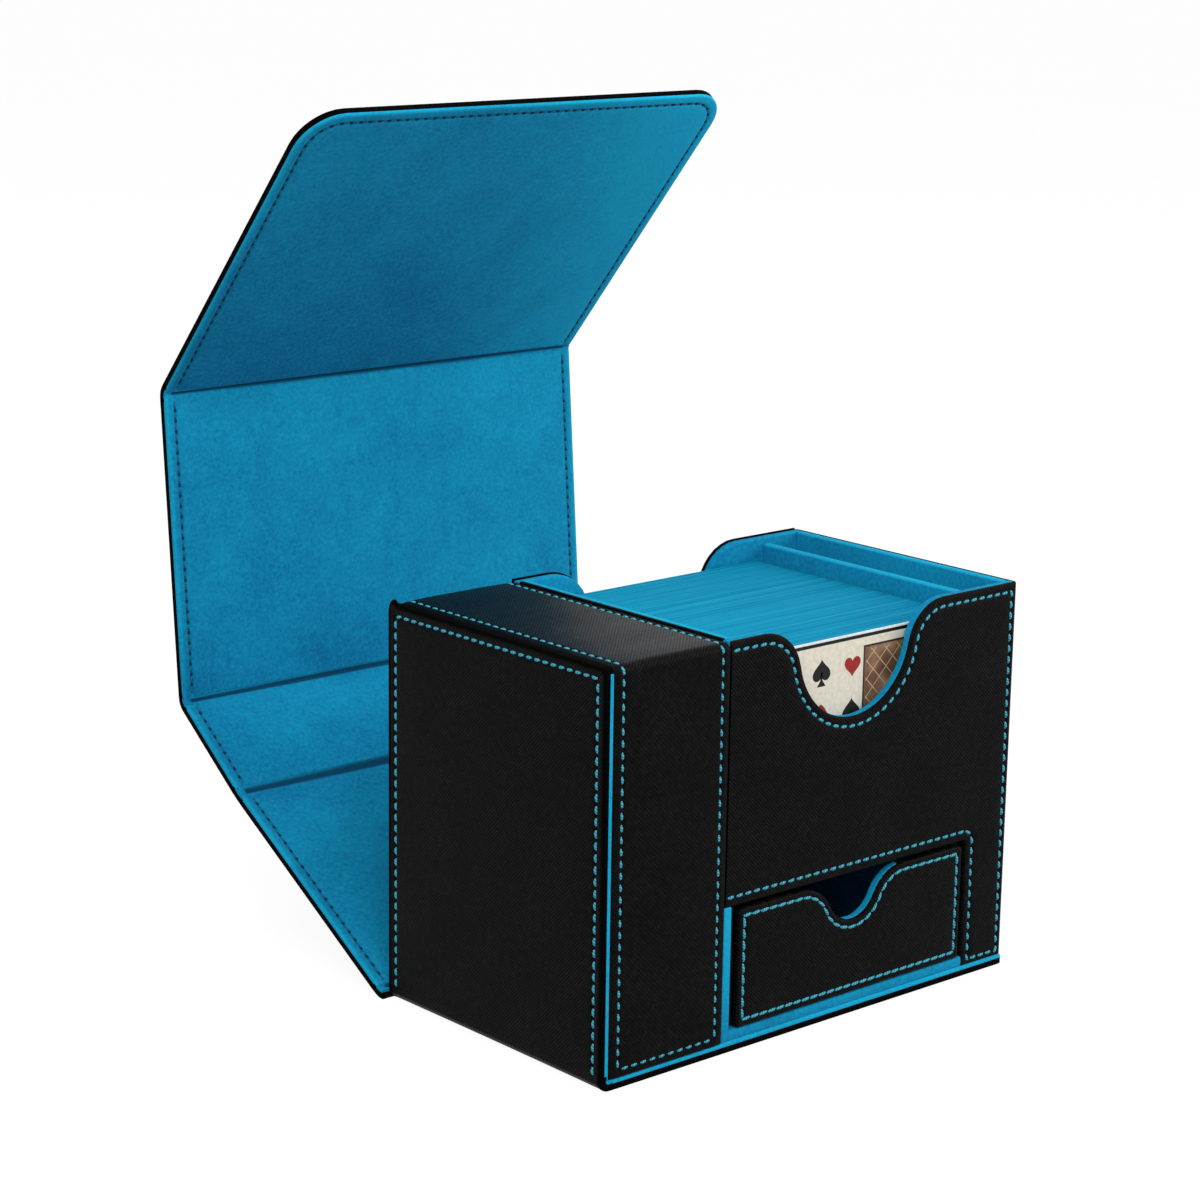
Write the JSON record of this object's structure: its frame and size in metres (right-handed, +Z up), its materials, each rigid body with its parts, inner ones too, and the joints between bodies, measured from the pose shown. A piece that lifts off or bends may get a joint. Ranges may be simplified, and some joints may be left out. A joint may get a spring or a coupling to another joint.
{
  "type": "playing card box with drawer",
  "caption": "Leather-covered card box on a wrap-around folding cover, with an open-topped card well, thumb notches, a drawer below it and a side bin behind a folding side cover",
  "frame": {"origin": "on the surface it stands on, under the middle of the box and its side cover", "axes": "+X along the front to the right, +Y to the back where the cover opens, +Z up"},
  "size_m": [0.1622, 0.2017, 0.2508],
  "materials": {
    "black_leather": "matt, fine twill grain",
    "blue_suede": "suede-like microfibre",
    "grey_board": "plain bookbinder's board",
    "drawer_board": "board covered in black paper",
    "magnet_steel": "plated",
    "card_sleeves": "matt",
    "card_face": "printed card in a clear sleeve"
  },
  "bodies": {
    "box": {"bottom_leather": "black_leather", "bottom_board": "grey_board", "bottom_lining": "blue_suede", "bottom_folds": "black_leather", "base_board": "grey_board", "base_lining": "blue_suede", "bin_front_board": "grey_board", "bin_back_board": "grey_board", "bin_top_board": "grey_board", "bin_right_board": "grey_board", "bin_leather": "black_leather", "bin_lining": "blue_suede", "well_front_leather": "black_leather", "well_front_board": "grey_board", "well_front_lining": "blue_suede", "well_back_leather": "black_leather", "well_back_board": "grey_board", "well_back_lining": "blue_suede", "well_left_leather": "black_leather", "well_left_board": "grey_board", "well_left_lining": "blue_suede", "partition_board": "grey_board", "partition_lining": "blue_suede", "well_right_board": "grey_board", "well_right_lining": "blue_suede", "well_right_leather": "black_leather", "shelf_board": "grey_board", "shelf_lining": "blue_suede", "front_keepers": "magnet_steel", "side_keepers": "magnet_steel"},
    "side_cover": {"side_cover_leather": "black_leather", "side_cover_board": "grey_board", "side_cover_lining": "blue_suede", "side_cover_magnets": "magnet_steel"},
    "back_lower_panel": {"back_lower_leather": "black_leather", "back_lower_board": "grey_board", "back_lower_lining": "blue_suede"},
    "back_upper_panel": {"back_upper_leather": "black_leather", "back_upper_board": "grey_board", "back_upper_lining": "blue_suede"},
    "top_cover_panel": {"top_panel_leather": "black_leather", "top_panel_board": "grey_board", "top_panel_lining": "blue_suede"},
    "front_cover_panel": {"front_panel_leather": "black_leather", "front_panel_board": "grey_board", "front_panel_lining": "blue_suede", "front_panel_magnets": "magnet_steel"},
    "drawer": {"drawer_front_leather": "black_leather", "drawer_front_board": "drawer_board", "drawer_front_lining": "blue_suede", "drawer_floor": "drawer_board", "drawer_left_side": "drawer_board", "drawer_right_side": "drawer_board", "drawer_back": "drawer_board", "drawer_lining": "blue_suede"},
    "deck": {"front_card": "card_face", "card_deck": "card_sleeves"}
  },
  "joints": [
    {"name": "base_fold", "type": "hinge", "parent": "box", "child": "back_lower_panel", "pos_m": [0, 0.0478, 0.0015], "axis": [1, 0, 0], "range_deg": [-31.3, 56.8]},
    {"name": "back_fold", "type": "hinge", "parent": "back_lower_panel", "child": "back_upper_panel", "pos_m": [0, 0.11752, 0.04389], "axis": [1, 0, 0], "range_deg": [-6, 0]},
    {"name": "top_fold", "type": "hinge", "parent": "back_upper_panel", "child": "top_cover_panel", "pos_m": [0, 0.14672, 0.06613], "axis": [1, 0, 0], "range_deg": [-48.2, 37.7]},
    {"name": "front_fold", "type": "hinge", "parent": "top_cover_panel", "child": "front_cover_panel", "pos_m": [0, 0.15422, 0.16144], "axis": [1, 0, 0], "range_deg": [-45, 45]},
    {"name": "side_fold", "type": "hinge", "parent": "box", "child": "side_cover", "pos_m": [-0.0785, 0, 0.0015], "axis": [0, 1, 0], "range_deg": [-90, 0]},
    {"name": "drawer_slide", "type": "slide", "parent": "box", "child": "drawer", "axis": [0, 1, 0], "range_m": [-0.075, 0]},
    {"name": "deck_lift", "type": "slide", "parent": "box", "child": "deck", "axis": [0, 0, -1], "range_m": [-0.09, 0]}
  ]
}
